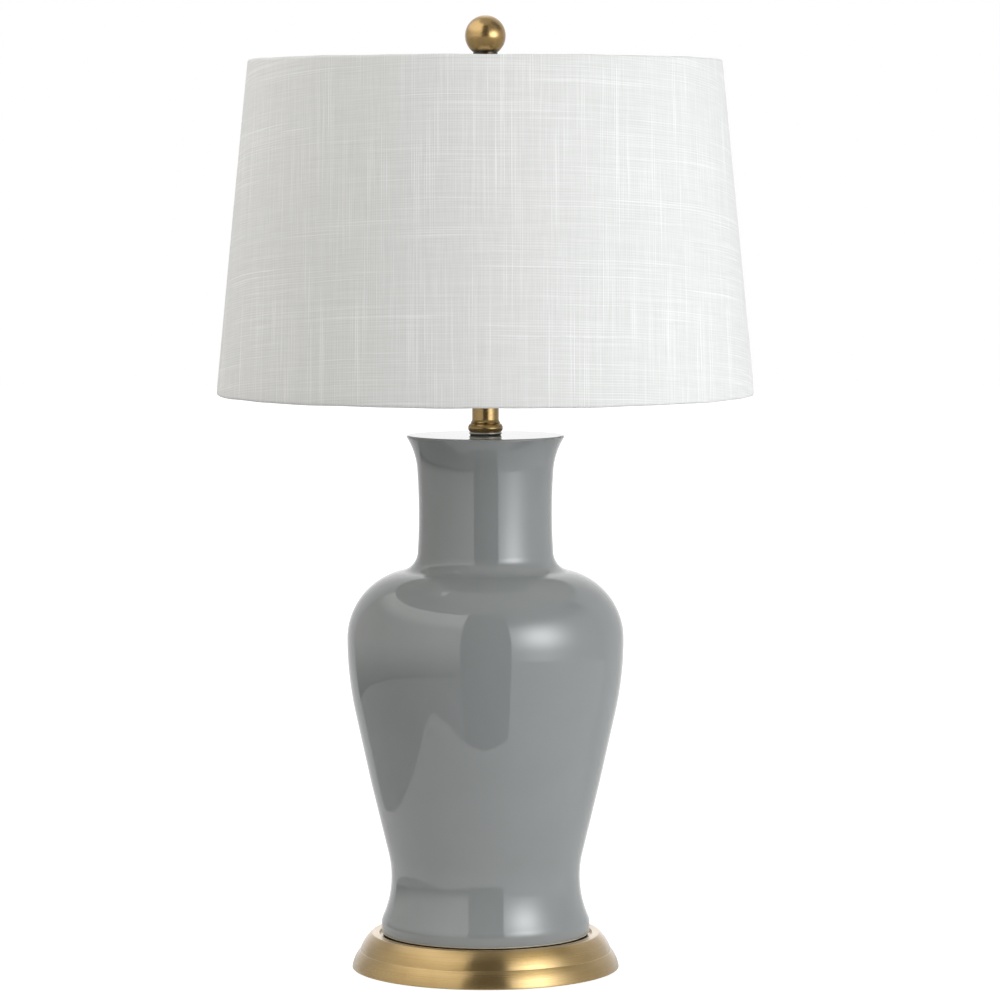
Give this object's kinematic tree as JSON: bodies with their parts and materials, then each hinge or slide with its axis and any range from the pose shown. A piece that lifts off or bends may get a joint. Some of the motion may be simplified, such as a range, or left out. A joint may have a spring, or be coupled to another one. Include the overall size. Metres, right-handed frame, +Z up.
{
  "type": "table lamp",
  "caption": "Baluster jar table lamp: glazed ceramic jar on a two-tier brass base, turned brass neck, harp, drum-like tapered linen shade and ball finial.",
  "frame": {"origin": "on the lamp's axis at the table surface that the felt pad rests on", "axes": "+Z up along the lamp's axis, -Y the front with the switch key, +Y the back with the lead's inlet, X along the harp"},
  "size_m": [0.4062, 0.4062, 0.7228],
  "materials": {
    "felt": "pressed felt",
    "cast_iron": "rough casting",
    "base_brass": "brushed and lacquered antique brass",
    "black_moulding": "moulded",
    "zinc_steel": "zinc-plated steel",
    "foam": "closed-cell foam",
    "glaze": "gloss grey-green glaze over a cream body",
    "black_rubber": "matte",
    "nickel": "nickel plate",
    "neck_brass": "satin antique brass",
    "harp_brass": "brass-plated wire",
    "socket_brass": "bright brass plate",
    "board": "pressed fibre board",
    "phenolic": "moulded phenolic",
    "bulb_nickel": "rolled cap",
    "solder": "tinned",
    "bulb_glass": "black glass",
    "bulb_white": "moulded",
    "bulb_opal": "opal",
    "light_board": "white masked board",
    "white_enamel": "white enamelled wire",
    "styrene": "smooth sheet",
    "linen": "slub linen weave",
    "finial_brass": "satin antique brass"
  },
  "bodies": {
    "lamp": {"felt_pad": "felt", "base_weight": "cast_iron", "base_shell": "base_brass", "cord_bushing": "black_moulding", "lower_nut": "zinc_steel", "lower_washer": "zinc_steel", "lock_washer": "zinc_steel", "lamp_rod": "zinc_steel", "foot_ring": "foam", "jar": "glaze", "deck_gasket": "black_rubber", "check_ring": "nickel", "neck": "neck_brass", "neck_washer": "neck_brass", "harp_saddle": "harp_brass", "upper_nut": "zinc_steel", "socket_cap": "socket_brass", "set_screw": "zinc_steel", "socket_shell": "socket_brass", "socket_board": "board", "socket_core": "phenolic", "terminal_screws": "socket_brass", "screw_shell": "bulb_nickel", "centre_contact": "socket_brass"},
    "switch": {"switch_shaft": "socket_brass", "switch_key": "black_moulding"},
    "bulb_carrier": {"bulb_tip": "solder"},
    "bulb": {"bulb_insulator": "bulb_glass", "bulb_cap": "bulb_nickel", "bulb_housing": "bulb_white", "bulb_diffuser": "bulb_opal", "light_board": "light_board"},
    "harp": {"harp_wire": "harp_brass", "harp_stud": "harp_brass"},
    "sleeve_right": {"harp_sleeve_right": "harp_brass"},
    "sleeve_left": {"harp_sleeve_left": "harp_brass"},
    "shade_carrier": {"shade_hub": "white_enamel"},
    "shade": {"spider_spokes": "white_enamel", "shade_top_ring": "white_enamel", "shade_bottom_ring": "white_enamel", "shade_liner": "styrene", "shade_fabric": "linen"},
    "finial_carrier": {"finial_insert": "zinc_steel"},
    "finial": {"finial_collar": "finial_brass", "finial_ball": "finial_brass"}
  },
  "joints": [
    {"name": "switch_turn", "type": "hinge", "parent": "lamp", "child": "switch", "pos_m": [0, 0, 0.4691], "axis": [0, -1, 0], "continuous": true},
    {"name": "bulb_lift", "type": "slide", "parent": "lamp", "child": "bulb_carrier", "axis": [0, 0, 1], "range_m": [0, 0.0163]},
    {"name": "bulb_turn", "type": "hinge", "parent": "bulb_carrier", "child": "bulb", "pos_m": [0, 0, 0.48], "axis": [0, 0, 1], "range_deg": [0, 1620]},
    {"name": "harp_lift", "type": "slide", "parent": "lamp", "child": "harp", "axis": [0, 0, 1], "range_m": [0, 0.025]},
    {"name": "sleeve_right_slide", "type": "slide", "parent": "harp", "child": "sleeve_right", "axis": [0, 0, 1], "range_m": [0, 0.015]},
    {"name": "sleeve_left_slide", "type": "slide", "parent": "harp", "child": "sleeve_left", "axis": [0, 0, 1], "range_m": [0, 0.015]},
    {"name": "shade_lift", "type": "slide", "parent": "harp", "child": "shade_carrier", "axis": [0, 0, 1], "range_m": [0, 0.26]},
    {"name": "shade_turn", "type": "hinge", "parent": "shade_carrier", "child": "shade", "pos_m": [0, 0, 0.6772], "axis": [0, 0, 1], "continuous": true},
    {"name": "finial_lift", "type": "slide", "parent": "shade_carrier", "child": "finial_carrier", "axis": [0, 0, 1], "range_m": [0, 0.0089]},
    {"name": "finial_turn", "type": "hinge", "parent": "finial_carrier", "child": "finial", "pos_m": [0, 0, 0.69], "axis": [0, 0, 1], "range_deg": [0, 3420]}
  ],
  "couplings": [
    {"joint": "bulb_turn", "follows": "bulb_lift", "rad_per_m": 1730.9},
    {"joint": "finial_turn", "follows": "finial_lift", "rad_per_m": 6679}
  ]
}
